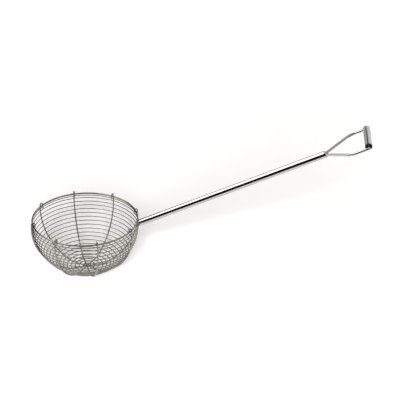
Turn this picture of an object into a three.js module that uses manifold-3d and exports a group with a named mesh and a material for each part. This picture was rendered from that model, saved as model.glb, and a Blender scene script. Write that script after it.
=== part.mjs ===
// Vegetable ladle: a round basket of stainless wire on a long tube handle with a D-shaped grip.
// Millimetres, +Z up, +X from the basket towards the handle. The origin is on the underside of
// the basket, in the middle of the ribs that it stands on.

import * as THREE from 'three';
import { mergeVertices } from 'three/addons/utils/BufferGeometryUtils.js';
import Module from 'manifold-3d';

const wasm = await Module();
wasm.setup();

// Wires of the basket
const RIM_WIRE = 4;
const HOOP_WIRE = 2;
const RIB_WIRE = 3;
const WELD_GAP = 0.3; // left between two pieces that are welded together

// Form of the basket: a round bowl, a little narrower at the rim, with a small flat base
const RIM_RADIUS = 120; // to the middle of the rim wire
const BELLY_DROP = 11.6; // from the rim down to the widest level, where the bowl has its centre
const BASE_RADIUS = 39.5; // of the flat that the basket stands on
const BASE_BEND = 12; // radius in which a rib turns from the bowl into the flat

// Hoops: two close together under the rim, the rest at one pitch along the wall and the base
const HOOPS = 21;
const TOP_HOOPS = 2;
const TOP_HOOP_PITCH = 6.4;
const SMALLEST_HOOP = 8.5; // radius of the last hoop, in the middle of the base

// Ribs: outside the hoops, hooked over the rim, with the handle midway between two of them
const RIB_PAIRS = 4;
const HOOK_RISE = 3; // straight part of a hook over the rim, before it turns
const HOOK_LEG = 6; // end of a rib that hangs down inside the rim

// Handle: a tube that rises from the rim, closed at each end by a domed plug
const HANDLE_RISE = THREE.MathUtils.degToRad(26.15);
const HANDLE_DROP = 5.5; // from the rim's plane down to the handle's axis, over the rim wire
const TUBE_DIAMETER = 16;
const TUBE_WALL = 1;
const TUBE_LENGTH = 450;
const PLUG_SPIGOT = 12; // length of a plug inside the tube
const NOSE_DOME = 10.5; // height of the nose's dome, before the basket's side cuts it
const NOSE_TOP = 1.75; // length of nose left showing on the upper side
const CAP_DOME = 6; // height of the dome that carries the grip

// Grip: a rod bent to a fork, welded to the shoulders of the cap, and a loose rolled sleeve on its bar
const ROD = 6.5;
const GRIP_REACH = 99; // from the end of the tube to the bar
const SPLAY = THREE.MathUtils.degToRad(38); // of the arms from the handle's axis
const ARM_BEND = 36;
const BAR_BEND = 4.2;
const SLEEVE_LENGTH = 88;
const SLEEVE_DIAMETER = 16;
const SLEEVE_WALL = 1.5;
const SLEEVE_SLACK = 0.75; // between the sleeve and the rod, which lies low in it
const SLEEVE_PLAY = 0.4; // from each end of the sleeve to the start of the bar's bend
const SLEEVE_SEAM = 1.6; // open seam where the rolled sheet meets
const SEAM_LEAN = THREE.MathUtils.degToRad(9.15); // of the seam from straight up, towards the grip's end

// Facets
const HOOP_SAG = 0.4; // of a hoop's straight facets inside its round
const WIRE_SAG = 0.12; // of a bent wire's steps, less than the weld gap
const HOOP_SIDES = 6;
const WIRE_SIDES = 8;
const ROD_SIDES = 10;
const TUBE_SIDES = 32;
const SLEEVE_STEPS = 20;
const DOME_STEPS = 8;

// Values worked out from the sizes above
const ribCount = 2 * RIB_PAIRS;
const ribPitch = (2 * Math.PI) / ribCount;
const hookRadius = RIM_WIRE / 2 + WELD_GAP + RIB_WIRE / 2;
const ribBowl = Math.hypot(RIM_RADIUS, BELLY_DROP) + hookRadius;
const rimAngle = Math.atan2(BELLY_DROP, RIM_RADIUS);
const bendHeight = Math.sqrt((ribBowl - BASE_BEND) ** 2 - BASE_RADIUS ** 2);
const bendAngle = -Math.atan2(bendHeight, BASE_RADIUS);
const ribFlat = (RIB_WIRE / 2) * Math.cos(Math.PI / WIRE_SIDES); // axis of a rib over its flat underside
const bowlCentre = ribFlat + BASE_BEND + bendHeight;
const rimHeight = bowlCentre + BELLY_DROP;
const hoopInset = RIB_WIRE / 2 + WELD_GAP + HOOP_WIRE / 2; // from the ribs in to the hoops
const hoopBowl = ribBowl - hoopInset;
const hoopBend = BASE_BEND - hoopInset;
const bowlRun = hoopBowl * (rimAngle - bendAngle); // down the wall, from the rim to the start of the bend
const bendRun = hoopBend * (bendAngle + Math.PI / 2);
const topRun = TOP_HOOPS * TOP_HOOP_PITCH;
const hoopPitch = (bowlRun + bendRun + BASE_RADIUS - SMALLEST_HOOP - topRun) / (HOOPS - TOP_HOOPS);
const wallFace = hoopBowl + HOOP_WIRE / 2 + WELD_GAP; // flat that the handle's nose is cut to

const tubeRadius = TUBE_DIAMETER / 2;
const boreRadius = tubeRadius - TUBE_WALL;
const noseReach = wallFace - RIM_RADIUS + tubeRadius * Math.sin(HANDLE_RISE) + NOSE_TOP;
const tubeStart = noseReach / Math.cos(HANDLE_RISE);
const tubeEnd = tubeStart + TUBE_LENGTH;
const armOffset = SLEEVE_LENGTH / 2 + SLEEVE_PLAY + BAR_BEND;
const barPlace = tubeEnd + GRIP_REACH;
const sleeveLift = SLEEVE_DIAMETER / 2 - SLEEVE_WALL - SLEEVE_SLACK - ROD / 2;

// Finishes
const steel = (color, roughness) => new THREE.MeshStandardMaterial({ color, roughness, metalness: 1 });
const drawnWire = () => steel(0xb4b5b2, 0.32);
const polishedTube = () => steel(0xd9dbdc, 0.12);
const rolledSheet = () => steel(0xc9cacb, 0.28);

// A bent wire: its points are the steps of the sweep, and each tangent halves its corner
class WirePath extends THREE.Curve {
  constructor(points) {
    super();
    this.points = points;
  }

  getPoint(t, target = new THREE.Vector3()) {
    const place = t * (this.points.length - 1);
    const index = Math.min(Math.floor(place), this.points.length - 2);
    return target.lerpVectors(this.points[index], this.points[index + 1], place - index);
  }

  getTangent(t, target = new THREE.Vector3()) {
    const last = this.points.length - 1;
    const index = Math.round(t * last);
    const here = this.points[index];
    const before = this.points[Math.max(index - 1, 0)];
    const after = this.points[Math.min(index + 1, last)];
    const arriving = new THREE.Vector3().subVectors(here, before).normalize();
    const leaving = new THREE.Vector3().subVectors(after, here).normalize();
    return target.addVectors(arriving, leaving).normalize();
  }

  getUtoTmapping(u) {
    return u;
  }
}

// Points of an arc, close enough together to keep within the sag of a bent wire
function arcPoints(x, y, radius, from, to) {
  const widest = 2 * Math.acos(1 - WIRE_SAG / radius);
  const steps = Math.ceil(Math.abs(to - from) / widest);
  return Array.from({ length: steps + 1 }, (_, step) => {
    const angle = from + ((to - from) * step) / steps;
    return new THREE.Vector2(x + radius * Math.cos(angle), y + radius * Math.sin(angle));
  });
}

// Section of a wire, with a flat side towards each axis
function wireSection(diameter, sides) {
  const shape = new THREE.Shape();
  for (let side = 0; side < sides; side += 1) {
    const angle = ((side + 0.5) * 2 * Math.PI) / sides;
    const x = (diameter / 2) * Math.cos(angle);
    const y = (diameter / 2) * Math.sin(angle);
    if (side === 0) shape.moveTo(x, y);
    else shape.lineTo(x, y);
  }
  shape.closePath();
  return shape;
}

function bentWire(points, diameter, sides) {
  return new THREE.ExtrudeGeometry(wireSection(diameter, sides), {
    steps: points.length - 1,
    extrudePath: new WirePath(points),
  });
}

// A closed ring of wire, with a corner of its polygon at every rib
function wireRing(name, radius, height, diameter, sides) {
  const finest = Math.PI / Math.acos(1 - HOOP_SAG / radius);
  const steps = ribCount * Math.ceil(finest / ribCount);
  const ring = new THREE.Mesh(new THREE.TorusGeometry(radius, diameter / 2, sides, steps), drawnWire());
  ring.name = name;
  ring.position.z = height;
  ring.rotation.z = ribPitch / 2;
  return ring;
}

// Radius and height of a hoop, from its run down the wall: the bowl, the bend and then the flat
function hoopSeat(run) {
  if (run <= bowlRun) {
    const angle = rimAngle - run / hoopBowl;
    return { radius: hoopBowl * Math.cos(angle), height: bowlCentre + hoopBowl * Math.sin(angle) };
  }
  if (run <= bowlRun + bendRun) {
    const angle = bendAngle - (run - bowlRun) / hoopBend;
    return {
      radius: BASE_RADIUS + hoopBend * Math.cos(angle),
      height: ribFlat + BASE_BEND + hoopBend * Math.sin(angle),
    };
  }
  return { radius: BASE_RADIUS - (run - bowlRun - bendRun), height: ribFlat + hoopInset };
}

function hoops() {
  return Array.from({ length: HOOPS }, (_, index) => {
    const place = index + 1;
    const run = place <= TOP_HOOPS ? place * TOP_HOOP_PITCH : topRun + (place - TOP_HOOPS) * hoopPitch;
    const { radius, height } = hoopSeat(run);
    return wireRing(`hoop_${String(place).padStart(2, '0')}`, radius, height, HOOP_WIRE, HOOP_SIDES);
  });
}

// Half of a rib in its own plane: leg inside the rim, hook, bowl, bend, and the flat run in to a radius.
// The hook stands up off the rim in line with the top of the bowl.
function ribProfile(endRadius) {
  const hookCentre = RIM_RADIUS - HOOK_RISE * Math.sin(rimAngle);
  const hookHeight = rimHeight + HOOK_RISE * Math.cos(rimAngle);
  const leg = new THREE.Vector2(hookCentre - hookRadius, rimHeight - HOOK_LEG);
  const hook = arcPoints(hookCentre, hookHeight, hookRadius, Math.PI, rimAngle);
  const bowl = arcPoints(0, bowlCentre, ribBowl, rimAngle, bendAngle);
  const bend = arcPoints(BASE_RADIUS, ribFlat + BASE_BEND, BASE_BEND, bendAngle, -Math.PI / 2);
  const end = new THREE.Vector2(endRadius, ribFlat);
  const profile = [leg, ...hook, ...bowl, ...bend.slice(1), end];
  return profile.map((point) => new THREE.Vector3(point.x, 0, point.y));
}

function rib(name, azimuth, points) {
  const mesh = new THREE.Mesh(bentWire(points, RIB_WIRE, WIRE_SIDES), drawnWire());
  mesh.name = name;
  mesh.rotation.z = azimuth;
  return mesh;
}

// One rib runs right across under the base; the others stop short of it and of each other
function ribs() {
  const hubRadius = (RIB_WIRE + WELD_GAP) / 2 / Math.tan(ribPitch / 2) + WELD_GAP;
  const crossing = Math.floor(RIB_PAIRS / 2);
  const near = ribProfile(0);
  const far = near.slice(0, -1).reverse().map((point) => new THREE.Vector3(-point.x, 0, point.z));
  const meshes = [rib('cross_rib', (crossing + 0.5) * ribPitch, [...near.slice(0, -1), ...far])];
  for (let index = 0; index < ribCount; index += 1) {
    if (index % RIB_PAIRS === crossing) continue;
    meshes.push(rib(`rib_${index + 1}`, (index + 0.5) * ribPitch, ribProfile(hubRadius)));
  }
  return meshes;
}

// The handle's own frame: X across it, Y along its axis from the rim, Z square to its upper side
function handleFrame() {
  const frame = new THREE.Group();
  const across = new THREE.Vector3(0, -1, 0);
  const along = new THREE.Vector3(Math.cos(HANDLE_RISE), 0, Math.sin(HANDLE_RISE));
  const upper = new THREE.Vector3().crossVectors(across, along);
  frame.quaternion.setFromRotationMatrix(new THREE.Matrix4().makeBasis(across, along, upper));
  frame.position.set(RIM_RADIUS, 0, rimHeight - HANDLE_DROP);
  frame.updateMatrix();
  return frame;
}

function handleTube() {
  const outline = [
    new THREE.Vector2(boreRadius, tubeStart),
    new THREE.Vector2(tubeRadius, tubeStart),
    new THREE.Vector2(tubeRadius, tubeEnd),
    new THREE.Vector2(boreRadius, tubeEnd),
    new THREE.Vector2(boreRadius, tubeStart),
  ];
  const tube = new THREE.Mesh(new THREE.LatheGeometry(outline, TUBE_SIDES), polishedTube());
  tube.name = 'handle_tube';
  return tube;
}

function solid(geometry) {
  const bare = geometry.clone();
  bare.deleteAttribute('normal');
  bare.deleteAttribute('uv');
  const merged = mergeVertices(bare);
  const vertProperties = new Float32Array(merged.attributes.position.array);
  const triVerts = new Uint32Array(merged.index.array);
  return new wasm.Manifold(new wasm.Mesh({ numProp: 3, vertProperties, triVerts }));
}

function geometryOf(manifold) {
  const mesh = manifold.getMesh();
  const geometry = new THREE.BufferGeometry();
  geometry.setAttribute('position', new THREE.BufferAttribute(mesh.vertProperties, 3));
  geometry.setIndex(new THREE.BufferAttribute(mesh.triVerts, 1));
  geometry.computeVertexNormals();
  return geometry;
}

// A plug for the tube's end, which lies at 0: a dome below it, and a spigot above it in the bore
function domedPlug(dome) {
  const spigotRadius = boreRadius - WELD_GAP;
  const outline = [];
  for (let step = 0; step <= DOME_STEPS; step += 1) {
    const angle = (step / DOME_STEPS) * (Math.PI / 2);
    outline.push(new THREE.Vector2(tubeRadius * Math.sin(angle), -WELD_GAP - dome * Math.cos(angle)));
  }
  outline.push(new THREE.Vector2(spigotRadius, -WELD_GAP));
  outline.push(new THREE.Vector2(spigotRadius, PLUG_SPIGOT));
  outline.push(new THREE.Vector2(0, PLUG_SPIGOT));
  return new THREE.LatheGeometry(outline, TUBE_SIDES);
}

// Closes the lower end of the tube, and is cut flat where it meets the basket
function handleNose(frame) {
  const plug = domedPlug(NOSE_DOME).translate(0, tubeStart, 0);

  const cutSize = 2 * (NOSE_DOME + tubeRadius);
  const basketSide = new THREE.BoxGeometry(cutSize, cutSize, cutSize);
  basketSide.translate(wallFace - cutSize / 2, 0, rimHeight - HANDLE_DROP);
  basketSide.applyMatrix4(frame.matrix.clone().invert());

  const nose = new THREE.Mesh(geometryOf(solid(plug).subtract(solid(basketSide))), polishedTube());
  nose.name = 'handle_nose';
  return nose;
}

// Closes the upper end of the tube, and carries the grip
function handleCap() {
  const cap = new THREE.Mesh(domedPlug(CAP_DOME), polishedTube());
  cap.name = 'handle_cap';
  cap.rotation.x = Math.PI;
  cap.position.y = tubeEnd;
  return cap;
}

// One arm of the fork in the handle's plane, from its weld to the end of its bend into the bar.
// It stands square on the cap's dome, where the dome slopes as the arm does.
function armProfile() {
  const slope = Math.atan((Math.tan(SPLAY) * tubeRadius) / CAP_DOME);
  const weldAcross = tubeRadius * Math.sin(slope) + WELD_GAP * Math.sin(SPLAY);
  const weldAlong = tubeEnd + WELD_GAP + CAP_DOME * Math.cos(slope) + WELD_GAP * Math.cos(SPLAY);
  const straightAcross = armOffset - ARM_BEND * (1 - Math.cos(SPLAY)) - weldAcross;
  const straightAlong = straightAcross / Math.tan(SPLAY);
  const armStart = weldAlong + straightAlong + ARM_BEND * Math.sin(SPLAY);
  const arm = arcPoints(armOffset - ARM_BEND, armStart, ARM_BEND, -SPLAY, 0);
  const bar = arcPoints(armOffset - BAR_BEND, barPlace - BAR_BEND, BAR_BEND, 0, Math.PI / 2);
  return [new THREE.Vector2(weldAcross, weldAlong), ...arm, ...bar];
}

function gripFork() {
  const right = armProfile();
  const left = right.map((point) => new THREE.Vector2(-point.x, point.y)).reverse();
  const points = [...right, ...left].map((point) => new THREE.Vector3(point.x, point.y, 0));
  const fork = new THREE.Mesh(bentWire(points, ROD, ROD_SIDES), polishedTube());
  fork.name = 'grip_fork';
  return fork;
}

// Sheet rolled to a tube round the bar, with its seam left open
function gripSleeve() {
  const outer = SLEEVE_DIAMETER / 2;
  const inner = outer - SLEEVE_WALL;
  const seamAngle = Math.PI - SEAM_LEAN;
  const halfSeam = SLEEVE_SEAM / 2 / outer;
  const from = seamAngle + halfSeam;
  const to = seamAngle + 2 * Math.PI - halfSeam;
  const section = new THREE.Shape();
  section.absarc(0, 0, outer, from, to, false);
  section.absarc(0, 0, inner, to, from, true);
  section.closePath();
  const rolled = new THREE.ExtrudeGeometry(section, {
    depth: SLEEVE_LENGTH,
    bevelEnabled: false,
    curveSegments: SLEEVE_STEPS,
  });
  rolled.translate(0, 0, -SLEEVE_LENGTH / 2);
  const sleeve = new THREE.Mesh(rolled, rolledSheet());
  sleeve.name = 'grip_sleeve';
  sleeve.rotation.y = Math.PI / 2;
  sleeve.position.set(0, barPlace, sleeveLift);
  return sleeve;
}

const basket = new THREE.Group();
basket.add(wireRing('rim_ring', RIM_RADIUS, rimHeight, RIM_WIRE, WIRE_SIDES), ...hoops(), ...ribs());

const handle = handleFrame();
handle.add(handleNose(handle), handleTube(), handleCap(), gripFork(), gripSleeve());

const ladle = new THREE.Group();
ladle.add(basket, handle);

export default ladle;
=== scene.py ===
"""Looks of a vegetable ladle: a basket of welded stainless wire on a polished tube with a D-shaped grip.

Lengths are millimetres where nothing else is said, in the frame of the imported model: +Z up, +X from the
basket to the grip, and the origin under the middle of the basket.
"""

import logging
import math
from collections.abc import Callable, Iterable, Iterator
from contextlib import contextmanager
from dataclasses import dataclass
from enum import Enum
from functools import cache

import bpy
from mathutils import Matrix, Vector
from mathutils.kdtree import KDTree


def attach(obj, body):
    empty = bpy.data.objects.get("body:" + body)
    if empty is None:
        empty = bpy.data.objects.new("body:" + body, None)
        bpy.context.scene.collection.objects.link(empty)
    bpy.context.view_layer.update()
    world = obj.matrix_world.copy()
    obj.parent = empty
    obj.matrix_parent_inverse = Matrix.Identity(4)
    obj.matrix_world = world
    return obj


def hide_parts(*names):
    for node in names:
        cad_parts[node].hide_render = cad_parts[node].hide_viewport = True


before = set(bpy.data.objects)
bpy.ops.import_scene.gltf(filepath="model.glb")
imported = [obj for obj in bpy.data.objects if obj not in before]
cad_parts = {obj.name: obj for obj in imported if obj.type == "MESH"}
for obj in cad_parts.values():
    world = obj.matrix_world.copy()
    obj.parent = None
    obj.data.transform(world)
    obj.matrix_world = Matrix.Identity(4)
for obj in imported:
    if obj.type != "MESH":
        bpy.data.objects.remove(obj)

Piece = bpy.types.Object
Tree = bpy.types.NodeTree
Triple = tuple[float, float, float]

LOG = logging.getLogger("ladle")
MM = 0.001
ORIGIN = (0, 0, 0)
X_AXIS, Y_AXIS, Z_AXIS = Vector((1, 0, 0)), Vector((0, 1, 0)), Vector((0, 0, 1))
# Faces that meet at less than this angle are shaded as one
SMOOTH_ANGLE = math.radians(40)
# Points nearer than this, in metres, count as one
TOUCHING = 1e-6
# How far in from an eased end the ring lies that keeps the shading even
RING_INSET = 1.0


class Body(Enum):
    """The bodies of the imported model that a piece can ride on."""

    LADLE = "ladle"
    GRIP = "grip"


class Slot(Enum):
    """The record's material slots."""

    WIRE = "drawn_wire"
    TUBE = "polished_tube"
    SHEET = "rolled_sheet"


# Modelling by hand


def clear_selection() -> None:
    """Leave edit mode and let go of every object."""
    if bpy.context.object and bpy.context.object.mode != "OBJECT":
        bpy.ops.object.mode_set(mode="OBJECT")
    bpy.ops.object.select_all(action="DESELECT")


def hold(piece: Piece) -> None:
    """Make one object the only selected one, and the active one.

    Args:
        piece: The object to hold.
    """
    clear_selection()
    piece.select_set(True)
    bpy.context.view_layer.objects.active = piece


@contextmanager
def editing(piece: Piece, inside: Callable[[Vector], bool] | None = None) -> Iterator[None]:
    """Open a piece for editing while a with block lasts.

    Args:
        piece: The object to edit.
        inside: Says whether the point at a place is selected, or nothing to select the whole piece.

    Yields:
        Nothing, with the piece open.
    """
    hold(piece)
    bpy.ops.object.mode_set(mode="EDIT")
    bpy.ops.mesh.select_all(action="SELECT")
    if inside:
        bpy.ops.mesh.select_mode(type="VERT")
        bpy.ops.mesh.select_all(action="DESELECT")
        bpy.ops.object.mode_set(mode="OBJECT")
        for point in piece.data.vertices:
            point.select = inside(point.co)
        bpy.ops.object.mode_set(mode="EDIT")
    yield
    bpy.ops.object.mode_set(mode="OBJECT")


def shade(piece: Piece, angle: float = SMOOTH_ANGLE) -> None:
    """Shade a piece smooth, but for the edges that turn by more than an angle."""
    hold(piece)
    bpy.ops.object.shade_smooth_by_angle(angle=angle)


def close_up(piece: Piece) -> None:
    """Merge doubled points, turn all faces outwards and shade a piece smooth.

    Args:
        piece: The object to finish.
    """
    with editing(piece):
        bpy.ops.mesh.remove_doubles(threshold=TOUCHING)
        bpy.ops.mesh.normals_make_consistent(inside=False)
    shade(piece)


def settle(piece: Piece, place: Matrix | None = None) -> None:
    """Move a piece and put its place into its mesh, so that its object sits at the origin.

    Args:
        piece: The object to move.
        place: Where the piece goes, or nothing to leave it where it is.
    """
    hold(piece)
    if place is not None:
        piece.matrix_world = place
    bpy.ops.object.transform_apply(location=True, rotation=True, scale=True)


def turned_place(point: Vector, x_axis: Vector, y_axis: Vector, z_axis: Vector) -> Matrix:
    """Give the matrix, in metres, that moves the origin to a point in millimetres and lays the axes there."""
    return Matrix.Translation(point * MM) @ Matrix((x_axis, y_axis, z_axis)).transposed().to_4x4()


def take_piece(name: str) -> Piece:
    """Take up the object that was just added, and put its place into its mesh.

    Args:
        name: Name of the piece.

    Returns:
        The object, at the origin.
    """
    piece = bpy.context.object
    piece.name = name
    settle(piece)
    return piece


def copy_of(model: Piece) -> Piece:
    """Copy a model.

    Args:
        model: The object to copy.

    Returns:
        The copy, with a mesh of its own.
    """
    hold(model)
    bpy.ops.object.duplicate(linked=False)
    return bpy.context.object


def throw_away(model: Piece) -> None:
    """Delete a model once all its copies are made."""
    hold(model)
    bpy.ops.object.delete()


def ease_ends(piece: Piece, width: float, axis: Vector, low: float, high: float) -> None:
    """Ease a long piece's sharp edges, and cut a ring beside each end that keeps its shading even.

    Args:
        piece: The object whose edges are eased.
        width: Width of the easing.
        axis: Direction of its length.
        low: Where its lower end lies along its length.
        high: Where its upper end lies.
    """
    hold(piece)
    easing = piece.modifiers.new("easing", "BEVEL")
    easing.width = width * MM
    easing.segments = 2
    easing.limit_method = "ANGLE"
    easing.angle_limit = SMOOTH_ANGLE
    bpy.ops.object.modifier_apply(modifier=easing.name)
    with editing(piece):
        for place in (low + RING_INSET, high - RING_INSET):
            bpy.ops.mesh.select_all(action="SELECT")
            bpy.ops.mesh.bisect(plane_co=axis * place * MM, plane_no=axis)
    shade(piece)


class BentWire:
    """A round wire bent as on a bench: pushed straight ahead, or turned round a centre."""

    STEP = 2.5
    STEP_ANGLE = math.radians(9)

    def __init__(self, name: str, diameter: float, sides: int, foot: Vector, heading: Vector) -> None:
        """Start a wire with its round end face.

        Args:
            name: Name of the piece.
            diameter: Diameter of the wire.
            sides: Sides of its round section.
            foot: Where the wire starts.
            heading: The direction in which it starts.
        """
        clear_selection()
        bpy.ops.mesh.primitive_circle_add(
            vertices=sides,
            radius=diameter / 2 * MM,
            fill_type="NGON",
            location=foot * MM,
            rotation=heading.to_track_quat("Z", "Y").to_euler(),
        )
        self.piece = take_piece(name)
        self.sides = sides
        self.way_back: list[Callable[[Matrix], None]] = []
        bpy.ops.object.mode_set(mode="EDIT")
        bpy.ops.mesh.select_all(action="SELECT")

    def push(self, step: Vector) -> None:
        """Run straight ahead, in short lengths that keep the wire's shading even.

        Args:
            step: The way ahead.
        """
        self.way_back.insert(0, lambda mirror: self.push(-(mirror @ step)))
        lengths = math.ceil(step.length / self.STEP)
        for _ in range(lengths):
            bpy.ops.mesh.extrude_region_move(TRANSFORM_OT_translate={"value": step / lengths * MM})

    def turn(self, centre: Vector, axis: Vector, radius: float, angle: float) -> None:
        """Bend the wire round a centre.

        Args:
            centre: Centre of the bend.
            axis: Axis of the bend, with the turn by the right-hand rule.
            radius: Radius of the bend.
            angle: Angle of the bend in radians.
        """
        self.way_back.insert(0, lambda mirror: self.turn(mirror @ centre, axis, radius, angle))
        steps = math.ceil(max(angle * radius / self.STEP, angle / self.STEP_ANGLE))
        # Spin turns against the right-hand rule
        bpy.ops.mesh.spin(steps=steps, angle=-angle, center=centre * MM, axis=axis)

    def cross_over(self, step: Vector, mirror: Matrix) -> None:
        """Run straight across to the other side, and bend the wire there as before, from the last bend back.

        Args:
            step: The way across.
            mirror: Turns the first side into the other one.
        """
        way_back = list(self.way_back)
        self.push(step)
        for bend in way_back:
            bend(mirror)

    def cut(self, easing: float) -> Piece:
        """End the wire and ease its two cut ends.

        Args:
            easing: Width of the eased edge of a cut end.

        Returns:
            The finished wire.
        """
        close_up(self.piece)
        with editing(self.piece):
            bpy.ops.mesh.select_mode(type="FACE")
            bpy.ops.mesh.select_face_by_sides(number=self.sides, type="EQUAL", extend=False)
            bpy.ops.mesh.bevel(offset=easing * MM, segments=3, affect="EDGES")
        shade(self.piece)
        return self.piece


# Fewest lengths in a ring of wire
RING_STEPS = 48
# How a butt weld swells a ring: its reach to each side in lengths, and its share of the wire's radius
BUTT_SWELLS = ((1.6, 0.06), (0.9, 0.05))


def wire_ring(name: str, radius: float, height: float, diameter: float, sides: int, joint: float) -> Piece:
    """Make a closed ring of wire, swollen a little where its two ends are butt-welded.

    Args:
        name: Name of the piece.
        radius: Radius to the middle of the wire.
        height: Height of the ring.
        diameter: Diameter of the wire.
        sides: Sides of the wire's section.
        joint: Angle round the ring of its butt weld, in radians.

    Returns:
        The finished ring.
    """
    steps = max(RING_STEPS, math.ceil(2 * math.pi * radius / BentWire.STEP))
    clear_selection()
    bpy.ops.mesh.primitive_torus_add(
        major_segments=steps,
        minor_segments=sides,
        major_radius=radius * MM,
        minor_radius=diameter / 2 * MM,
        location=(0, 0, height * MM),
    )
    ring = take_piece(name)
    joint_at = Vector((math.cos(joint), math.sin(joint), 0)) * radius + Z_AXIS * height
    for reach, swell in BUTT_SWELLS:
        reach_all = diameter / 2 + reach * BentWire.STEP
        with editing(ring, lambda place: (place / MM - joint_at).length < reach_all):
            bpy.ops.transform.shrink_fatten(value=swell * diameter / 2 * MM)
    shade(ring)
    return ring


class WeldShop:
    """Makes the two kinds of weld once, and lays copies of them wherever the ladle is welded.

    Both models are about 1 mm in radius.
    """

    SPOOL_DEPTH = 1.2
    SPOOL_WAIST = 0.8
    SPOOL_SMOOTH_ANGLE = math.radians(60)
    DROPLET_SHAPE = (0.8, 1, 0.62)
    DROPLET_CREST = 0.2
    DROPLET_LEAN = 0.22

    def __init__(self) -> None:
        """Model the spool of a resistance weld and the droplet of a bead."""
        self.spool = self.model_spool()
        self.droplet = self.model_droplet()

    def model_spool(self) -> Piece:
        """Model the metal squeezed out between two crossed wires: a short waist that flares onto both.

        Returns:
            The spool, with its axis along Z.
        """
        clear_selection()
        bpy.ops.mesh.primitive_cylinder_add(vertices=12, radius=MM, depth=self.SPOOL_DEPTH * MM)
        spool = take_piece("spool")
        with editing(spool):
            bpy.ops.mesh.bisect(plane_co=ORIGIN, plane_no=Z_AXIS)
            bpy.ops.transform.resize(value=(self.SPOOL_WAIST, self.SPOOL_WAIST, 1), center_override=ORIGIN)
        shade(spool, self.SPOOL_SMOOTH_ANGLE)
        return spool

    def model_droplet(self) -> Piece:
        """Model one frozen ripple of a bead: a low round drop that is steeper on its leading side.

        Returns:
            The droplet, laid along X on the plane Z = 0.
        """
        clear_selection()
        bpy.ops.mesh.primitive_uv_sphere_add(segments=10, ring_count=6, radius=MM)
        droplet = take_piece("droplet")
        with editing(droplet):
            bpy.ops.transform.resize(value=self.DROPLET_SHAPE, center_override=ORIGIN)
        with editing(droplet, lambda place: place.z > self.DROPLET_CREST * MM):
            bpy.ops.transform.translate(value=X_AXIS * self.DROPLET_LEAN * MM)
        bpy.ops.object.shade_smooth()
        return droplet

    @staticmethod
    def lay(name: str, model: Piece, places: Iterable[Matrix]) -> Piece:
        """Lay copies of a weld and join them to one piece.

        Args:
            name: Name of the piece.
            model: The spool or the droplet.
            places: The place, turn and size of each copy, in metres.

        Returns:
            The piece that holds all the copies.
        """
        copies = []
        for place in places:
            copies.append(copy_of(model))
            copies[-1].matrix_world = place
        hold(copies[0])
        for copy in copies:
            copy.select_set(True)
        bpy.ops.object.join()
        copies[0].name = name
        settle(copies[0])
        return copies[0]

    def sweep_up(self) -> None:
        """Delete the two models once every copy is laid."""
        throw_away(self.spool)
        throw_away(self.droplet)


def weld_place(point: Vector, outward: Vector, along: Vector, size: Vector | Triple) -> Matrix:
    """Say where a copy of a weld goes.

    Args:
        point: Its middle.
        outward: Direction of its Z axis.
        along: Direction near its X axis.
        size: Its size along its own axes, in millimetres of radius.

    Returns:
        The copy's matrix, in metres.
    """
    up = outward.normalized()
    side = up.cross(along).normalized()
    return turned_place(point, side.cross(up), side, up) @ Matrix.Diagonal(size).to_4x4()


def write_stain_and_shade(piece: Piece, distance: Callable[[Vector], float], reach: float) -> None:
    """Write how near each point is to a weld's heat stain, and on the sleeve to the painted shade beside its
    seam.

    Args:
        piece: The piece.
        distance: Gives a point's distance from what tints it.
        reach: Distance at which the tint has mostly gone.
    """
    stain = piece.data.attributes.new("stain", "FLOAT", "POINT")
    for index, point in enumerate(piece.data.vertices):
        stain.data[index].value = math.exp(-((distance(point.co) / reach) ** 2))


# Finishes


def linear(code: str) -> tuple[float, float, float, float]:
    """Turn an sRGB hex colour into linear red, green, blue and alpha.

    Args:
        code: The colour as six hex digits after a hash.

    Returns:
        The linear colour, with alpha 1.
    """
    shares = (int(code[place : place + 2], 16) / 255 for place in (1, 3, 5))
    red, green, blue = (s / 12.92 if s <= 0.04045 else ((s + 0.055) / 1.055) ** 2.4 for s in shares)
    return red, green, blue, 1.0


def per_metre(size: float) -> float:
    """Give the scale of a pattern whose features are a size in millimetres."""
    return 1 / (size * MM)


def add_node(tree: Tree, kind: str, inputs: dict | None = None, **settings: object) -> bpy.types.Node:
    """Add a node with its settings and links.

    Args:
        tree: The node tree.
        kind: The node's type.
        inputs: Values or output sockets for its input sockets, by name or number.
        settings: The node's own settings.

    Returns:
        The new node.
    """
    node = tree.nodes.new(kind)
    for name, value in settings.items():
        setattr(node, name, value)
    for socket, value in (inputs or {}).items():
        if isinstance(value, bpy.types.NodeSocket):
            tree.links.new(value, node.inputs[socket])
        else:
            node.inputs[socket].default_value = value
    return node


def new_material(name: str) -> tuple[bpy.types.Material, Tree]:
    """Start a material with an empty node tree.

    Args:
        name: Name of the material.

    Returns:
        The material and its node tree.
    """
    material = bpy.data.materials.new(name)
    material.use_nodes = True
    material.node_tree.nodes.clear()
    return material, material.node_tree


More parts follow.
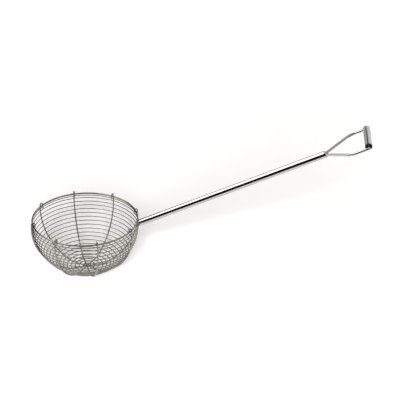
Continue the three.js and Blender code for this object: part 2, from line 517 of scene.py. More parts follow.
@dataclass(frozen=True)
class Steel:
    """A stainless steel finish: two tones in slow patches, a streak or grain, and uneven gloss.

    Attributes:
        name: Name of the material.
        tone: The brighter tone.
        patch_tone: The duller tone of the patches.
        patch: Size of a patch.
        roughness: Least and most roughness.
        grain: Size of the grain across its direction.
        grain_length: Length of the grain along its direction.
        grain_depth: Depth of the grain.
        grain_turn: Turn in degrees about X, Y and Z that lays the grain's direction along +X.
        stain: Heat stain beside welds, painted shade beside the sleeve's seam, or nothing.
    """

    name: str
    tone: str
    patch_tone: str
    patch: float
    roughness: tuple[float, float]
    grain: float
    grain_length: float
    grain_depth: float
    grain_turn: Triple = (0, 0, 0)
    stain: str | None = None

    # Octaves of the two noises, and the span in which nearly all of the grain's values lie
    PATCH_DETAIL = 3.0
    GRAIN_DETAIL = 2.0
    GRAIN_SPAN = (0.3, 0.7)

    @cache
    def build(self) -> bpy.types.Material:
        """Build the material's nodes, once for all the pieces that share it.

        Returns:
            The finished material.
        """
        material, tree = new_material(self.name)
        place = add_node(tree, "ShaderNodeTexCoord").outputs["Object"]
        patches = add_node(
            tree,
            "ShaderNodeTexNoise",
            {"Vector": place, "Scale": per_metre(self.patch), "Detail": self.PATCH_DETAIL},
        ).outputs["Fac"]
        colour = add_node(
            tree,
            "ShaderNodeMix",
            {"Factor": patches, "A": linear(self.tone), "B": linear(self.patch_tone)},
            data_type="RGBA",
        ).outputs[2]
        turn = tuple(map(math.radians, self.grain_turn))
        turned = add_node(tree, "ShaderNodeMapping", {"Vector": place, "Rotation": turn}).outputs["Vector"]
        stretch = (self.grain / self.grain_length, 1, 1)
        lines = add_node(tree, "ShaderNodeMapping", {"Vector": turned, "Scale": stretch}).outputs["Vector"]
        grain = add_node(
            tree,
            "ShaderNodeTexNoise",
            {"Vector": lines, "Scale": per_metre(self.grain), "Detail": self.GRAIN_DETAIL},
        ).outputs["Fac"]
        low, high = self.GRAIN_SPAN
        least, most = self.roughness
        gloss = add_node(
            tree,
            "ShaderNodeMapRange",
            {"Value": grain, "From Min": low, "From Max": high, "To Min": least, "To Max": most},
        ).outputs["Result"]
        relief = add_node(
            tree, "ShaderNodeBump", {"Height": grain, "Strength": 1.0, "Distance": self.grain_depth * MM}
        ).outputs["Normal"]
        # The heat stain beside the wire's welds, and the painted shade beside the sleeve's seam
        if self.stain:
            stain_and_shade_mask = add_node(tree, "ShaderNodeAttribute", attribute_name="stain").outputs["Fac"]
            colour = add_node(
                tree,
                "ShaderNodeMix",
                {"Factor": stain_and_shade_mask, "A": colour, "B": linear(self.stain)},
                data_type="RGBA",
            ).outputs[2]
        surface = add_node(
            tree,
            "ShaderNodeBsdfPrincipled",
            {"Base Color": colour, "Metallic": 1.0, "Roughness": gloss, "Normal": relief},
        )
        add_node(tree, "ShaderNodeOutputMaterial", {"Surface": surface.outputs["BSDF"]})
        return material


# Degrees by which the handle rises, which the grain of its tube follows
HANDLE_RISE = 26.15

# Drawn wire, electropolished after welding: a soft warm grey shine, uneven from patch to patch, and brownish
# beside each weld. Its drawing marks are finer than a tenth of a millimetre and are drawn coarser to show.
DRAWN_WIRE = Steel(
    name="drawn_stainless_wire",
    tone="#a5a39b",
    patch_tone="#928f86",
    patch=14,
    roughness=(0.12, 0.22),
    grain=1.2,
    grain_length=1.2,
    grain_depth=0.02,
    stain="#9a9485",
)

# Welded tube and rod, ground and buffed bright along their length: nearly a mirror, with faint lines
# lengthwise.
POLISHED_TUBE = Steel(
    name="buffed_stainless_tube",
    tone="#c8c8c7",
    patch_tone="#bebebc",
    patch=40,
    roughness=(0.05, 0.12),
    grain=0.9,
    grain_length=120,
    grain_turn=(0, HANDLE_RISE, 0),
    grain_depth=0.004,
)

# Sheet brushed with a belt before it is rolled, along what becomes the sleeve's length: satin, with clear
# streaks. Its dark tone beside the cut edges of its seam is painted shade, so that the slot reads dark.
SATIN_SHEET = Steel(
    name="satin_rolled_stainless",
    tone="#cdcdcc",
    patch_tone="#b4b4b3",
    patch=9,
    roughness=(0.22, 0.4),
    grain=1.1,
    grain_length=60,
    grain_turn=(0, 0, 90),
    grain_depth=0.03,
    # Near black beside the seam: painted shade
    stain="#1c1b1a",
)

# Inside and cut edges of the rolled sheet, which no belt reaches: the dull face of the mill and the shears,
# painted near black as the shade inside the bore and the slot.
MILL_FACE_AND_SHADE = Steel(
    name="dull_mill_face_painted_shade",
    tone="#2e2d2c",
    patch_tone="#1b1a19",
    patch=6,
    roughness=(0.5, 0.65),
    grain=0.8,
    grain_length=8,
    grain_depth=0.02,
)

# Weld metal as it froze: a little rough, greyed and browned by the heat.
WELD_METAL = Steel(
    name="stainless_weld_metal",
    tone="#9a9892",
    patch_tone="#7f7b72",
    patch=3,
    roughness=(0.28, 0.45),
    grain=0.7,
    grain_length=0.7,
    grain_depth=0.05,
)


# The ladle


@dataclass(frozen=True)
class Seat:
    """Where a hoop lies: its radius and height, and the slope at which the wall faces outwards there."""

    radius: float
    height: float
    facing: float

    def outward(self, azimuth: float) -> Vector:
        """Give the direction out of the wall at an angle round the basket."""
        level = math.cos(self.facing)
        return Vector((level * math.cos(azimuth), level * math.sin(azimuth), math.sin(self.facing)))

    def point(self, azimuth: float) -> Vector:
        """Give the middle of the hoop's wire at an angle round the basket."""
        return Vector((self.radius * math.cos(azimuth), self.radius * math.sin(azimuth), self.height))

    def outside(self, azimuth: float, reach: float) -> Vector:
        """Give the point that lies out of the wall from there by a reach."""
        return self.point(azimuth) + self.outward(azimuth) * reach


@dataclass
class Assembly:
    """A part of the ladle, which dresses its own pieces and has its welds modelled in the shop."""

    shop: WeldShop

    def dress(
        self,
        piece: Piece,
        finish: Steel,
        slot: Slot,
        nodes: Iterable[str] = (),
        body: Body = Body.LADLE,
        inside: Steel | None = None,
    ) -> None:
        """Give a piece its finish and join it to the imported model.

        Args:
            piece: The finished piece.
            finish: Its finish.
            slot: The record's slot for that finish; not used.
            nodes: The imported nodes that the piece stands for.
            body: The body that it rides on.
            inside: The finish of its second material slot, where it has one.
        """
        piece.data.materials.clear()
        for each in filter(None, (finish, inside)):
            piece.data.materials.append(each.build())
        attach(piece, body.value)
        if nodes:
            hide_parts(*nodes)
        LOG.info("%s: %d faces", piece.name, len(piece.data.polygons))


@dataclass
class Basket(Assembly):
    """The wire basket: a rim, hoops down the wall to a flat base, and ribs hooked over the rim."""

    rim_wire: float = 4.0
    hoop_wire: float = 2.0
    rib_wire: float = 3.0
    weld_gap: float = 0.3
    rim_radius: float = 120.0
    belly_drop: float = 11.6
    base_radius: float = 39.5
    base_bend: float = 12.0
    hoops: int = 21
    top_hoops: int = 2
    top_pitch: float = 6.4
    smallest_hoop: float = 8.5
    ribs: int = 8
    cross_rib: int = 3
    hook_rise: float = 3.0
    hook_leg: float = 6.0
    rib_flat: float = 1.386
    hub_radius: float = 4.28
    heat_reach: float = 2.4
    # Sides of the wires' sections, and the sizes of the welds
    rim_sides: int = 24
    hoop_sides: int = 16
    rib_sides: int = 20
    cut_easing: float = 0.4
    hoop_weld: Triple = (0.9, 0.9, 1.0)
    rim_weld: Triple = (1.4, 1.4, 1.5)
    hub_drop: Triple = (2.6, 1.7, 1.6)
    hub_drop_inset: float = 1.2
    hub_drop_lift: float = 0.5

    def __post_init__(self) -> None:
        """Work out the wall that the hoops and ribs follow."""
        self.hook_radius = self.rim_wire / 2 + self.weld_gap + self.rib_wire / 2
        self.rib_bowl = math.hypot(self.rim_radius, self.belly_drop) + self.hook_radius
        self.rim_angle = math.atan2(self.belly_drop, self.rim_radius)
        bend_height = math.sqrt((self.rib_bowl - self.base_bend) ** 2 - self.base_radius**2)
        self.bend_angle = -math.atan2(bend_height, self.base_radius)
        self.bend_centre = self.rib_flat + self.base_bend
        self.bowl_centre = self.bend_centre + bend_height
        self.rim_height = self.bowl_centre + self.belly_drop
        inset = self.rib_wire / 2 + self.weld_gap + self.hoop_wire / 2
        self.hoop_bowl = self.rib_bowl - inset
        self.hoop_bend = self.base_bend - inset
        self.hoop_flat = self.rib_flat + inset
        self.bowl_run = self.hoop_bowl * (self.rim_angle - self.bend_angle)
        self.bend_run = self.hoop_bend * (self.bend_angle + math.pi / 2)
        self.top_run = self.top_hoops * self.top_pitch
        whole_run = self.bowl_run + self.bend_run + self.base_radius - self.smallest_hoop
        self.pitch = (whole_run - self.top_run) / (self.hoops - self.top_hoops)
        self.wall_slope = Vector((math.sin(self.rim_angle), 0, -math.cos(self.rim_angle)))
        rim = Vector((self.rim_radius, 0, self.rim_height))
        self.hook_centre = rim - self.wall_slope * self.hook_rise
        self.rib_turns = [(index + 0.5) * 2 * math.pi / self.ribs for index in range(self.ribs)]
        through = {self.cross_rib, self.cross_rib + self.ribs // 2}
        self.half_ribs = sorted(set(range(1, self.ribs + 1)) - through)
        self.seats = [self.seat(index + 1) for index in range(self.hoops)]

    def seat(self, place: int) -> Seat:
        """Find where a hoop lies, from its run down the wall: the bowl, the bend and then the flat.

        Args:
            place: The hoop's number from the rim, starting at 1.

        Returns:
            The hoop's seat.
        """
        run = place * self.top_pitch
        if place > self.top_hoops:
            run = self.top_run + (place - self.top_hoops) * self.pitch
        if run <= self.bowl_run:
            angle = self.rim_angle - run / self.hoop_bowl
            height = self.bowl_centre + self.hoop_bowl * math.sin(angle)
            return Seat(self.hoop_bowl * math.cos(angle), height, angle)
        run -= self.bowl_run
        if run <= self.bend_run:
            angle = self.bend_angle - run / self.hoop_bend
            height = self.bend_centre + self.hoop_bend * math.sin(angle)
            return Seat(self.base_radius + self.hoop_bend * math.cos(angle), height, angle)
        return Seat(self.base_radius - (run - self.bend_run), self.hoop_flat, -math.pi / 2)

    def weld_points(self) -> KDTree:
        """Collect the places where hoops and ribs are welded.

        Returns:
            The places, in metres, ready to be searched.
        """
        reach = (self.hoop_wire + self.weld_gap) / 2
        rim = Seat(self.rim_radius, self.rim_height, 0)
        spots = [seat.outside(turn, reach) for turn in self.rib_turns for seat in self.seats]
        spots += [rim.point(turn) for turn in self.rib_turns]
        places = KDTree(len(spots))
        for index, spot in enumerate(spots):
            places.insert(spot * MM, index)
        places.balance()
        return places

    def make_rim(self) -> Piece:
        """Bend the rim, with its butt weld behind the handle's nose."""
        return wire_ring("rim_wire", self.rim_radius, self.rim_height, self.rim_wire, self.rim_sides, 0)

    def make_hoop(self, place: int) -> Piece:
        """Bend one hoop, with its butt weld a golden angle on from the last one's.

        Args:
            place: The hoop's number from the rim, starting at 1.

        Returns:
            The finished hoop.
        """
        seat = self.seats[place - 1]
        golden_angle = math.pi * (3 - math.sqrt(5))
        joint = place * golden_angle
        name = f"hoop_wire_{place:02d}"
        return wire_ring(name, seat.radius, seat.height, self.hoop_wire, self.hoop_sides, joint)

    def start_rib(self, name: str) -> BentWire:
        """Bend the outer half of a rib in the plane Y = 0: leg, hook, bowl and the bend into the flat.

        Args:
            name: Name of the piece.

        Returns:
            The wire, ready to run in under the base.
        """
        leg = self.hook_centre.z - self.rim_height + self.hook_leg
        foot = self.hook_centre - X_AXIS * self.hook_radius - Z_AXIS * leg
        wire = BentWire(name, self.rib_wire, self.rib_sides, foot, Z_AXIS)
        wire.push(Z_AXIS * leg)
        wire.turn(self.hook_centre, Y_AXIS, self.hook_radius, math.pi - self.rim_angle)
        wire.push(self.wall_slope * self.hook_rise)
        wire.turn(Z_AXIS * self.bowl_centre, Y_AXIS, self.rib_bowl, self.rim_angle - self.bend_angle)
        bend = Vector((self.base_radius, 0, self.bend_centre))
        wire.turn(bend, Y_AXIS, self.base_bend, self.bend_angle + math.pi / 2)
        return wire

    def wear_flat(self, rib: Piece) -> None:
        """Flatten a rib where it rests: the underside is worn level with the plane Z = 0."""
        with editing(rib):
            bpy.ops.mesh.bisect(
                plane_co=ORIGIN, plane_no=Z_AXIS, use_fill=True, clear_inner=True, threshold=TOUCHING
            )

    def make_half_ribs(self) -> list[Piece]:
        """Bend one half rib, and turn copies of it to their places round the basket.

        Returns:
            The half ribs, one for each rib but the two halves of the one that runs through.
        """
        wire = self.start_rib("half_rib")
        wire.push(X_AXIS * (self.hub_radius - self.base_radius))
        model = wire.cut(self.cut_easing)
        self.wear_flat(model)
        made = []
        for number in self.half_ribs:
            rib = copy_of(model)
            rib.name = f"rib_wire_{number}"
            settle(rib, Matrix.Rotation(self.rib_turns[number - 1], 4, "Z"))
            made.append(rib)
        throw_away(model)
        return made

    def make_cross_rib(self) -> Piece:
        """Bend the rib that runs right across under the base.

        Returns:
            The finished rib, in its place.
        """
        wire = self.start_rib("cross_rib_wire")
        wire.cross_over(X_AXIS * -2 * self.base_radius, Matrix.Diagonal((-1, 1, 1)))
        rib = wire.cut(self.cut_easing)
        self.wear_flat(rib)
        settle(rib, Matrix.Rotation(self.rib_turns[self.cross_rib - 1], 4, "Z"))
        return rib

    def make_rib_welds(self, number: int) -> Piece:
        """Lay the welds of one rib: a spool at each hoop, and two at the rim under its hook.

        Args:
            number: The rib's number, starting at 1.

        Returns:
            One piece that holds the rib's welds.
        """
        turn = self.rib_turns[number - 1]
        tangent = Vector((-math.sin(turn), math.cos(turn), 0))
        hooks = [Seat(self.rim_radius, self.rim_height, angle) for angle in (self.rim_angle, math.pi)]
        kinds = (
            (self.seats, self.hoop_wire, self.hoop_weld),
            (hooks, self.rim_wire, self.rim_weld),
        )
        places = []
        for seats, wire, size in kinds:
            for seat in seats:
                middle = seat.outside(turn, (wire + self.weld_gap) / 2)
                places.append(weld_place(middle, seat.outward(turn), tangent, size))
        return self.shop.lay(f"rib_welds_{number}", self.shop.spool, places)

    def make_hub_welds(self) -> Piece:
        """Lay the drops that hold the half ribs' ends to the rib that runs through.

        Returns:
            One piece that holds the drops.
        """
        lift = Z_AXIS * (self.rib_flat + self.hub_drop_lift)
        places = []
        for number in self.half_ribs:
            turn = self.rib_turns[number - 1]
            end = Vector((math.cos(turn), math.sin(turn), 0))
            middle = end * (self.hub_radius - self.hub_drop_inset) + lift
            places.append(weld_place(middle, Z_AXIS, end, self.hub_drop))
        return self.shop.lay("hub_welds", self.shop.droplet, places)

    def build(self) -> None:
        """Build the whole basket and dress it."""
        welds = self.weld_points()
        wires = [(self.make_rim(), "rim_ring")]
        wires += [(self.make_hoop(place), f"hoop_{place:02d}") for place in range(1, self.hoops + 1)]
        wires += [(rib, rib.name.replace("_wire", "")) for rib in self.make_half_ribs()]
        wires.append((self.make_cross_rib(), "cross_rib"))
        for wire, node in wires:
            write_stain_and_shade(wire, lambda point: welds.find(point)[2] / MM, self.heat_reach)
            self.dress(wire, DRAWN_WIRE, Slot.WIRE, [node])
        for number in range(1, self.ribs + 1):
            self.dress(self.make_rib_welds(number), WELD_METAL, Slot.WIRE)
        self.dress(self.make_hub_welds(), WELD_METAL, Slot.WIRE)


@dataclass
class Handle(Assembly):
    """The tube handle with a domed plug in each end, in a frame of its own.

    In that frame Z runs up the handle from over the rim wire, and X points out of its upper side.
    """

    basket: Basket
    drop: float = 5.5
    diameter: float = 16.0
    wall: float = 1.0
    length: float = 450.0
    spigot: float = 12.0
    nose_dome: float = 10.5
    nose_top: float = 1.75
    cap_dome: float = 6.0
    sides: int = 96
    end_easing: float = 0.2
    seam_inset: float = 0.3
    seam_radius: float = 0.36
    seam_stretch: float = 1.4
    # The beads at the nose, whose ripples grow smaller outwards
    ripples: int = 5
    ripple_start: float = 2.2
    ripple_pitch: float = 0.95
    ripple_sink: float = 0.1
    ripple_size: Triple = (1.2, 1.6, 1.3)
    first_ripple: float = 1.1
    ripple_fade: float = 0.08

    def __post_init__(self) -> None:
        """Work out where the tube starts and ends, and the handle's own frame."""
        rise = math.radians(HANDLE_RISE)
        self.gap = self.basket.weld_gap
        self.radius = self.diameter / 2
        self.wall_face = self.basket.hoop_bowl + self.basket.hoop_wire / 2 + self.gap
        reach = self.wall_face - self.basket.rim_radius + self.radius * math.sin(rise) + self.nose_top
        self.start = reach / math.cos(rise)
        self.end = self.start + self.length
        self.along = Vector((math.cos(rise), 0, math.sin(rise)))
        upper = Vector((-math.sin(rise), 0, math.cos(rise)))
        self.origin = Vector((self.basket.rim_radius, 0, self.basket.rim_height - self.drop))
        self.place = turned_place(self.origin, upper, -Y_AXIS, self.along)

    def make_tube(self) -> Piece:
        """Draw the tube, with its wall and its eased ends.

        Returns:
            The tube, in its place.
        """
        clear_selection()
        bpy.ops.mesh.primitive_cylinder_add(
            vertices=self.sides,
            radius=self.radius * MM,
            depth=self.length * MM,
            end_fill_type="NOTHING",
            location=Z_AXIS * (self.start + self.end) / 2 * MM,
        )
        tube = take_piece("tube")
        thickness = tube.modifiers.new("wall", "SOLIDIFY")
        thickness.thickness = self.wall * MM
        thickness.offset = -1
        bpy.ops.object.modifier_apply(modifier=thickness.name)
        ease_ends(tube, self.end_easing, Z_AXIS, self.start, self.end)
        settle(tube, self.place)
        return tube

    def make_plug(self, name: str, dome: float) -> Piece:
        """Turn a plug on a lathe: a dome under the plane Z = 0, and a spigot over it.

        Args:
            name: Name of the piece.
            dome: Height of the dome.

        Returns:
            The plug, about the origin.
        """
        clear_selection()
        bpy.ops.mesh.primitive_uv_sphere_add(
            segments=self.sides, ring_count=self.sides // 2, radius=self.radius * MM
        )
        plug = take_piece(name)
        with editing(plug):
            bpy.ops.mesh.bisect(plane_co=ORIGIN, plane_no=Z_AXIS, use_fill=True, clear_outer=True)
            bpy.ops.mesh.select_all(action="SELECT")
            bpy.ops.transform.resize(value=(1, 1, dome / self.radius), center_override=ORIGIN)
            bpy.ops.mesh.select_mode(type="FACE")
            bpy.ops.mesh.select_face_by_sides(number=self.sides, type="EQUAL", extend=False)
            bpy.ops.mesh.inset(thickness=(self.wall + self.gap) * MM)
            bpy.ops.mesh.extrude_region_move(TRANSFORM_OT_translate={"value": Z_AXIS * self.spigot * MM})
        close_up(plug)
        return plug

    def make_nose(self) -> Piece:
        """Make the lower plug, and cut it flat where it meets the basket.

        Returns:
            The nose, in its place.
        """
        nose = self.make_plug("nose", self.nose_dome)
        settle(nose, self.place @ Matrix.Translation(Z_AXIS * self.start * MM))
        face = X_AXIS * self.wall_face * MM
        with editing(nose):
            bpy.ops.mesh.bisect(plane_co=face, plane_no=X_AXIS, use_fill=True, clear_inner=True)
        shade(nose)
        return nose

    def make_cap(self) -> Piece:
        """Make the upper plug, which carries the grip.

        Returns:
            The cap, in its place.
        """
        cap = self.make_plug("cap", self.cap_dome)
        upside_down = Matrix.Rotation(math.pi, 4, "X")
        settle(cap, self.place @ Matrix.Translation(Z_AXIS * self.end * MM) @ upside_down)
        return cap

    def make_seam(self, name: str, at: float) -> Piece:
        """Make the ground weld between the tube and a plug, a hair proud of both.

        Args:
            name: Name of the piece.
            at: Where the weld lies along the handle.

        Returns:
            The weld, in its place.
        """
        middle = Z_AXIS * at * MM
        clear_selection()
        bpy.ops.mesh.primitive_torus_add(
            major_segments=self.sides,
            minor_segments=8,
            major_radius=(self.radius - self.seam_inset) * MM,
            minor_radius=self.seam_radius * MM,
            location=middle,
        )
        seam = take_piece(name)
        with editing(seam):
            bpy.ops.transform.resize(value=(1, 1, self.seam_stretch), center_override=middle)
        bpy.ops.object.shade_smooth()
        settle(seam, self.place)
        return seam

    def half_width(self, height: float) -> float:
        """Find half the width of the nose's flat face at a height, which is where its welds lie.

        Args:
            height: The height.

        Returns:
            Half the width there.
        """
        offset = Vector((self.wall_face, 0, height)) - self.origin
        along = offset.dot(self.along)
        aside = (offset - self.along * along).length
        share = min(1.0, max(0.0, (self.start - along) / self.nose_dome))
        section = self.radius * math.sqrt(1 - share**2)
        return math.sqrt(max(0.0, section**2 - aside**2))

    def make_nose_welds(self) -> Piece:
        """Lay the beads that hold the nose to the rim and to the first hoop, one on each side.

        Returns:
            One piece that holds the beads.
        """
        basket = self.basket
        rim = Seat(basket.rim_radius, basket.rim_height, 0)
        places = []
        for seat, wire in ((rim, basket.rim_wire), (basket.seats[0], basket.hoop_wire)):
            start = self.half_width(seat.height) - self.ripple_start
            for side in (-1, 1):
                for ripple in range(self.ripples):
                    azimuth = side * (start + self.ripple_pitch * ripple) / seat.radius
                    middle = seat.outside(azimuth, wire / 2 - self.ripple_sink)
                    size = Vector(self.ripple_size) * (self.first_ripple - self.ripple_fade * ripple)
                    places.append(weld_place(middle, seat.outward(azimuth), Y_AXIS * side, size))
        return self.shop.lay("nose_welds", self.shop.droplet, places)

    def build(self) -> None:
        """Build the whole handle and dress it."""
        self.dress(self.make_nose(), POLISHED_TUBE, Slot.TUBE, ["handle_nose"])
        self.dress(self.make_tube(), POLISHED_TUBE, Slot.TUBE, ["handle_tube"])
        self.dress(self.make_cap(), POLISHED_TUBE, Slot.TUBE, ["handle_cap"])
        self.dress(self.make_seam("nose_seam", self.start), POLISHED_TUBE, Slot.TUBE)
        self.dress(self.make_seam("cap_seam", self.end), POLISHED_TUBE, Slot.TUBE)
        self.dress(self.make_nose_welds(), WELD_METAL, Slot.TUBE)


@dataclass
class Grip(Assembly):
    """The D-shaped grip: a rod bent to a fork on the cap's shoulders, and a loose sleeve on its bar."""

    handle: Handle
    rod: float = 6.5
    reach: float = 99.0
    splay: float = math.radians(38)
    arm_bend: float = 36.0
    bar_bend: float = 4.2
    sleeve_length: float = 88.0
    sleeve_diameter: float = 16.0
    sleeve_wall: float = 1.5
    sleeve_slack: float = 0.75
    sleeve_play: float = 0.4
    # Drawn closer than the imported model's 1.6 mm, because the photograph shows the seam dark to its end
    sleeve_seam: float = 0.6
    seam_lean: float = math.radians(9.15)
    # Reach of the shade painted on the sheet beside the seam's cut edges
    seam_stain: float = 1.9
    sleeve_steps: int = 96
    sleeve_easing: float = 0.22
    # Faces that point outwards by at least this cosine took the belt
    belt_reach: float = math.cos(math.radians(60))
    rod_sides: int = 32
    rod_easing: float = 0.5
    # The ring of ripples round each arm's foot
    ripples: int = 14
    ripple_sink: float = 0.1
    ripple_drop: float = 0.5
    ripple_lean: float = 0.6
    ripple_size: Triple = (1.6, 1.4, 1.0)

    def __post_init__(self) -> None:
        """Work out the fork's outline in the handle's plane."""
        handle = self.handle
        slope = math.atan(math.tan(self.splay) * handle.radius / handle.cap_dome)
        self.arm_heading = Vector((0, math.sin(self.splay), math.cos(self.splay)))
        dome_height = handle.end + handle.cap_dome * math.cos(slope)
        dome_foot = Vector((0, handle.radius * math.sin(slope), dome_height))
        self.foot = dome_foot + Z_AXIS * handle.gap + self.arm_heading * handle.gap
        self.arm_offset = self.sleeve_length / 2 + self.sleeve_play + self.bar_bend
        across = self.arm_offset - self.arm_bend * (1 - math.cos(self.splay)) - self.foot.y
        self.arm_straight = across / math.sin(self.splay)
        arm_rise = self.arm_straight * math.cos(self.splay) + self.arm_bend * math.sin(self.splay)
        self.arm_top = self.foot.z + arm_rise
        self.bar = handle.end + self.reach
        self.sleeve_lift = self.sleeve_diameter / 2 - self.sleeve_wall - self.sleeve_slack - self.rod / 2

    def make_fork(self) -> Piece:
        """Bend the fork from one rod, from the one weld to the other.

        Returns:
            The fork, in its place.
        """
        wire = BentWire("fork", self.rod, self.rod_sides, self.foot, self.arm_heading)
        arm_centre = Vector((0, self.arm_offset - self.arm_bend, self.arm_top))
        bar_centre = Vector((0, self.arm_offset - self.bar_bend, self.bar - self.bar_bend))
        wire.push(self.arm_heading * self.arm_straight)
        wire.turn(arm_centre, X_AXIS, self.arm_bend, self.splay)
        wire.push(Z_AXIS * (bar_centre.z - self.arm_top))
        wire.turn(bar_centre, X_AXIS, self.bar_bend, math.pi / 2)
        wire.cross_over(Y_AXIS * -2 * bar_centre.y, Matrix.Diagonal((1, -1, 1)))
        fork = wire.cut(self.rod_easing)
        settle(fork, self.handle.place)
        return fork

    def make_arm_welds(self) -> Piece:
        """Lay a ring of ripples round the foot of each arm.

        Returns:
            One piece that holds both rings.
        """
        turn = self.handle.place.to_3x3()
        reach = self.rod / 2 - self.ripple_sink
        places = []
        for side in (-1, 1):
            mirror = Matrix.Diagonal((1, side, 1))
            heading = mirror @ self.arm_heading
            across = heading.cross(X_AXIS)
            for ripple in range(self.ripples):
                angle = 2 * math.pi * ripple / self.ripples
                outward = X_AXIS * math.cos(angle) + across * math.sin(angle)
                middle = mirror @ self.foot + outward * reach - heading * self.ripple_drop
                world = self.handle.place @ (middle * MM) / MM
                leaning = turn @ (outward + heading * self.ripple_lean)
                along = turn @ heading.cross(outward)
                places.append(weld_place(world, leaning, along, self.ripple_size))
        return self.shop.lay("arm_welds", self.shop.droplet, places)

    def make_sleeve(self) -> Piece:
        """Roll the sleeve: the cut edge of a sheet, spun round the bar until the seam is left.

        Returns:
            The sleeve, in its place, with its inner and cut faces in the second material slot.
        """
        half_seam = self.sleeve_seam / self.sleeve_diameter
        outer = self.sleeve_diameter / 2
        half_length = self.sleeve_length / 2
        clear_selection()
        bpy.ops.mesh.primitive_plane_add(size=MM)
        sleeve = take_piece("sleeve")
        with editing(sleeve):
            sheet = (self.sleeve_wall, self.sleeve_length, 1)
            bpy.ops.transform.resize(value=sheet, center_override=ORIGIN)
            bpy.ops.transform.translate(value=X_AXIS * (outer - self.sleeve_wall / 2) * MM)
            rolled = 2 * (math.pi - half_seam)
            bpy.ops.mesh.spin(steps=self.sleeve_steps, angle=-rolled, center=ORIGIN, axis=Y_AXIS)
        close_up(sleeve)
        ease_ends(sleeve, self.sleeve_easing, Y_AXIS, -half_length, half_length)
        # Inner and cut faces take the second slot: the dull mill face, painted near black as shade
        for face in sleeve.data.polygons:
            outward = Vector((face.center.x, 0, face.center.z)).normalized()
            face.material_index = int(face.normal.dot(outward) < self.belt_reach)
        # Painted shade: the sheet darkens beside the seam's cut edges, so that the slot reads dark
        seam = Vector((math.cos(half_seam), 0, math.sin(half_seam))) * outer
        write_stain_and_shade(sleeve, lambda point: (Vector((point.x, 0, point.z)) / MM - seam).length, self.seam_stain)
        lean = Matrix.Rotation(half_seam - self.seam_lean, 4, "Y")
        centre = Vector((self.sleeve_lift, 0, self.bar))
        settle(sleeve, self.handle.place @ Matrix.Translation(centre * MM) @ lean)
        return sleeve

    def build(self) -> None:
        """Build the whole grip and dress it."""
        self.dress(self.make_fork(), POLISHED_TUBE, Slot.TUBE, ["grip_fork"])
        self.dress(self.make_arm_welds(), WELD_METAL, Slot.TUBE)
        sleeve = self.make_sleeve()
        self.dress(sleeve, SATIN_SHEET, Slot.SHEET, ["grip_sleeve"], Body.GRIP, MILL_FACE_AND_SHADE)


# The studio


@dataclass(frozen=True)
class Card:
    """A card, standing or lying flat, that only shows in the steel.

    Attributes:
        name: Name of the card.
        low: Middle of its lower or nearer edge.
        high: Middle of its upper or further edge.
        side: From the middle of an edge to its end.
        tone: How bright it is, where 1 is white.
    """

    name: str
    low: Triple
    high: Triple
    side: Triple
    tone: float


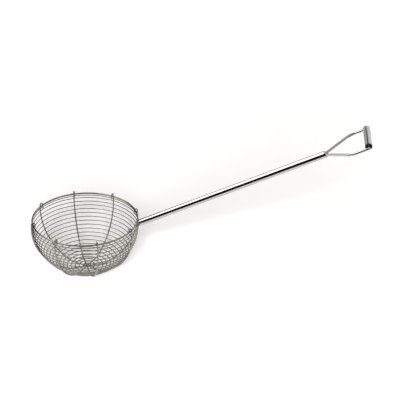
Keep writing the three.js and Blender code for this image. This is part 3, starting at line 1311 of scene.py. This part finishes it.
@dataclass
class Studio:
    """A plain pale floor, a light beside the camera, and what the steel mirrors.

    The steel mirrors a softbox high on the left, and cards that nothing else sees.
    """

    floor_size: float = 14000.0
    floor_tone: str = "#f8f6f4"
    floor_lift: float = 0.235
    sky: float = 0.05
    softbox_middle: Triple = (-1200.0, -275.0, 2000.0)
    softbox_size: tuple[float, float] = (1500.0, 2650.0)
    softbox_glow: float = 1.65
    front_light: float = 1.6
    front_spread: float = math.radians(20)
    front_elevation: float = math.radians(30)
    front_azimuth: float = math.radians(5)
    # The dark room in front, pale walls and ceiling, and dark sheets on the white floor, left and in front,
    # that paint dark reflections into the steel
    cards: tuple[Card, ...] = (
        Card("near_card", (-300, -600, 4), (-300, -1650, 2700), (2100, 0, 0), 0.015),
        Card("right_card", (2500, 0, 100), (2500, 0, 2100), (0, 1650, 0), 0.4),
        Card("ceiling_card", (1800, -1600, 2100), (1800, 1700, 2100), (800, 0, 0), 0.5),
        Card("back_ceiling_card", (275, 100, 2100), (275, 1700, 2100), (725, 0, 0), 0.4),
        Card("back_card", (220, 700, 150), (220, 700, 620), (300, 0, 0), 0.5),
        Card("back_left_card", (-405, 420, 5), (-405, 420, 730), (155, 350, 0), 0.005),
        # Dark sheets lying on the white floor that only the steel sees: painted reflections
        Card("left_sheet", (-360, -60, 3), (-360, 600, 3), (210, 0, 0), 0.02),
        Card("front_sheet", (55, -430, 3), (55, -740, 3), (55, -170, 0), 0.02),
        Card("near_sheet", (-85, -260, 3), (-85, -600, 3), (85, 0, 0), 0.02),
    )

    def background_share(self, tree: Tree) -> bpy.types.NodeSocket:
        """Tell the rays that see the background, straight or in the steel, from those that only carry light.

        Args:
            tree: The node tree that asks.

        Returns:
            A socket that is 1 for a camera, glossy or transmission ray and otherwise 0.
        """
        rays = add_node(tree, "ShaderNodeLightPath").outputs
        seen = add_node(
            tree, "ShaderNodeMath", {0: rays["Is Camera Ray"], 1: rays["Is Glossy Ray"]}, operation="MAXIMUM"
        )
        return add_node(
            tree, "ShaderNodeMath", {0: seen.outputs[0], 1: rays["Is Transmission Ray"]}, operation="MAXIMUM"
        ).outputs[0]

    def make_world(self) -> None:
        """Make the surroundings: a white background that lights the floor only softly."""
        world = bpy.data.worlds.new("studio")
        world.use_nodes = True
        tree = world.node_tree
        tree.nodes.clear()
        strength = add_node(
            tree,
            "ShaderNodeMapRange",
            {"Value": self.background_share(tree), "To Min": self.sky, "To Max": 1.0},
        ).outputs["Result"]
        white = add_node(tree, "ShaderNodeBackground", {"Color": linear("#ffffff"), "Strength": strength})
        add_node(tree, "ShaderNodeOutputWorld", {"Surface": white.outputs["Background"]})
        bpy.context.scene.world = world

    def make_floor(self) -> None:
        """Lay the floor: pale, white where nothing shades it, and seen only from above."""
        clear_selection()
        bpy.ops.mesh.primitive_plane_add(size=self.floor_size * MM)
        floor = take_piece("floor")
        material, tree = new_material("pale_studio_floor")
        paint = add_node(tree, "ShaderNodeBsdfDiffuse", {"Color": linear(self.floor_tone)})
        lift = add_node(
            tree, "ShaderNodeMath", {0: self.background_share(tree), 1: self.floor_lift}, operation="MULTIPLY"
        )
        glow = add_node(tree, "ShaderNodeEmission", {"Strength": lift.outputs[0]})
        both = add_node(tree, "ShaderNodeAddShader", {0: paint.outputs[0], 1: glow.outputs[0]})
        clear = add_node(tree, "ShaderNodeBsdfTransparent")
        under = add_node(tree, "ShaderNodeNewGeometry").outputs["Backfacing"]
        surface = add_node(tree, "ShaderNodeMixShader", {0: under, 1: both.outputs[0], 2: clear.outputs[0]})
        add_node(tree, "ShaderNodeOutputMaterial", {"Surface": surface.outputs[0]})
        floor.data.materials.append(material)

    def make_card(self, card: Card) -> None:
        """Set one card up in the studio, out of the camera's sight.

        Args:
            card: The card to make.
        """
        low, high, side = map(Vector, (card.low, card.high, card.side))
        slope = high - low
        clear_selection()
        bpy.ops.mesh.primitive_plane_add(size=MM)
        sheet = take_piece(card.name)
        settle(sheet, turned_place((low + high) / 2, side * 2, slope, side.cross(slope).normalized()))
        material, tree = new_material(card.name)
        glow = add_node(tree, "ShaderNodeEmission", {"Strength": card.tone})
        add_node(tree, "ShaderNodeOutputMaterial", {"Surface": glow.outputs[0]})
        sheet.data.materials.append(material)
        sheet.visible_camera = False
        sheet.visible_diffuse = False
        sheet.visible_shadow = False

    def make_softbox(self) -> None:
        """Hang the soft light that the steel mirrors, high on the left."""
        width, depth = self.softbox_size
        lamp = bpy.data.lights.new("softbox", "AREA")
        lamp.shape = "RECTANGLE"
        lamp.size = width * MM
        lamp.size_y = depth * MM
        lamp.energy = self.softbox_glow * math.pi * lamp.size * lamp.size_y
        softbox = bpy.data.objects.new("softbox", lamp)
        softbox.location = Vector(self.softbox_middle) * MM
        softbox.visible_camera = False
        softbox.visible_diffuse = False
        bpy.context.scene.collection.objects.link(softbox)

    def make_front_light(self) -> None:
        """Shine from beside the camera, with the shadow behind the ladle, and stay out of the steel."""
        lamp = bpy.data.lights.new("front_light", "SUN")
        lamp.energy = self.front_light * math.pi
        lamp.angle = self.front_spread
        light = bpy.data.objects.new("front_light", lamp)
        light.rotation_euler = (math.pi / 2 - self.front_elevation, 0, self.front_azimuth)
        light.visible_glossy = False
        bpy.context.scene.collection.objects.link(light)

    def build(self) -> None:
        """Build the floor, the cards and the lights."""
        self.make_world()
        self.make_floor()
        for card in self.cards:
            self.make_card(card)
        self.make_softbox()
        self.make_front_light()
        bpy.context.scene.view_settings.view_transform = "Standard"


@dataclass
class PhotoCamera:
    """The camera of the photograph, as fitted to the rim, the ribs, the handle and the grip."""

    target: Vector
    image: float = 400.0
    focal_length: float = 1077.55
    sensor: float = 36.0
    distance: float = 2468.6
    elevation: float = math.radians(29.225)
    azimuth: float = math.radians(3.999)
    roll: float = math.radians(1.3305)
    aside: float = 262.9
    above: float = 42.3

    def build(self) -> None:
        """Set the camera up and make it the scene's own."""
        level = math.cos(self.elevation)
        back = Vector(
            (math.sin(self.azimuth) * level, -math.cos(self.azimuth) * level, math.sin(self.elevation))
        )
        right = Vector((math.cos(self.azimuth), math.sin(self.azimuth), 0))
        upright = back.cross(right)
        side = right * math.cos(self.roll) + upright * math.sin(self.roll)
        up = upright * math.cos(self.roll) - right * math.sin(self.roll)
        place = self.target + back * self.distance + side * self.aside + up * self.above
        data = bpy.data.cameras.new("photo_camera")
        data.sensor_width = self.sensor
        data.lens = self.focal_length * self.sensor / self.image
        camera = bpy.data.objects.new("photo_camera", data)
        camera.matrix_world = turned_place(place, side, up, back)
        bpy.context.scene.collection.objects.link(camera)
        bpy.context.scene.camera = camera


def main() -> None:
    """Build the ladle and the studio."""
    logging.basicConfig(level=logging.INFO, format="%(name)s: %(message)s")
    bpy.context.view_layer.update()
    clear_selection()
    shop = WeldShop()
    basket = Basket(shop)
    handle = Handle(shop, basket)
    PhotoCamera(Z_AXIS * basket.rim_height).build()
    basket.build()
    handle.build()
    Grip(shop, handle).build()
    shop.sweep_up()
    Studio().build()


if __name__ == "__main__":
    main()
